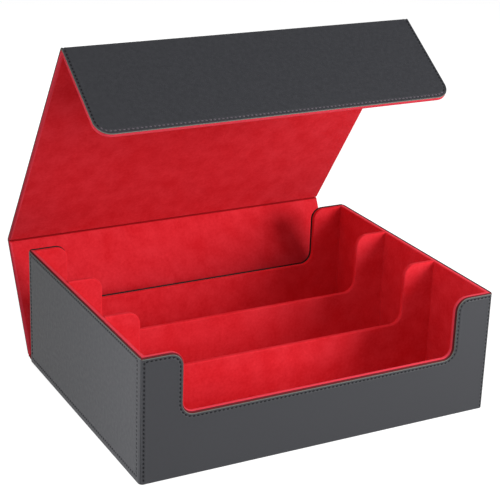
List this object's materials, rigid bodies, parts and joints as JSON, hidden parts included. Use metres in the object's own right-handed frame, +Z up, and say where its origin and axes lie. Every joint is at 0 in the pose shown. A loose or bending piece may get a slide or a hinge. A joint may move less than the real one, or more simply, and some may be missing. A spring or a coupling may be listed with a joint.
{
  "type": "card storage box",
  "caption": "Low storage box for playing cards: a lined tray with long open lanes and cut-down walls under a stitched folding cover whose flap closes over the front.",
  "frame": {"origin": "centre of the tray's underside, on the surface that it stands on", "axes": "+X along the lanes to the right as seen from the front, +Y from the front wall to the rear wall, +Z up"},
  "size_m": [0.3, 0.2789, 0.2859],
  "materials": {
    "cover": "satin",
    "lining": "matte",
    "board": "matte",
    "magnet": "satin"
  },
  "bodies": {
    "tray": {"base_cover": "cover", "floor_board": "board", "front_floor_lining": "lining", "middle_floor_lining": "lining", "rear_floor_lining": "lining", "left_wall_board": "board", "right_wall_board": "board", "front_wall_board": "board", "rear_wall_board": "board", "left_wall_cover": "cover", "right_wall_cover": "cover", "front_wall_cover": "cover", "rear_wall_cover": "cover", "left_wall_lining": "lining", "right_wall_lining": "lining", "front_wall_lining": "lining", "rear_wall_lining": "lining", "front_divider_board": "board", "front_divider_lining": "lining", "rear_divider_board": "board", "rear_divider_lining": "lining", "wall_magnets": "magnet", "base_hinge_strip": "cover", "base_hinge_tape": "lining"},
    "spine": {"spine_board": "board", "spine_cover": "cover", "spine_lining": "lining", "ridge_hinge_strip": "cover", "ridge_hinge_tape": "lining"},
    "top": {"top_board": "board", "top_cover": "cover", "top_lining": "lining", "flap_hinge_strip": "cover", "flap_hinge_tape": "lining"},
    "flap": {"flap_board": "board", "flap_cover": "cover", "flap_lining": "lining", "flap_magnets": "magnet"}
  },
  "joints": [
    {"name": "base_fold", "type": "hinge", "parent": "tray", "child": "spine", "pos_m": [0, 0.1165, 0.002], "axis": [-1, 0, 0], "range_deg": [-27.5, 62.5], "deforming": ["base_hinge_strip", "base_hinge_tape"]},
    {"name": "ridge_fold", "type": "hinge", "parent": "spine", "child": "top", "pos_m": [0, 0.16291, 0.09114], "axis": [-1, 0, 0], "range_deg": [-28.3, 61.7], "deforming": ["ridge_hinge_strip", "ridge_hinge_tape"]},
    {"name": "flap_fold", "type": "hinge", "parent": "top", "child": "flap", "pos_m": [0, 0.03194, 0.28385], "axis": [-1, 0, 0], "range_deg": [0, 90], "deforming": ["flap_hinge_strip", "flap_hinge_tape"]}
  ]
}
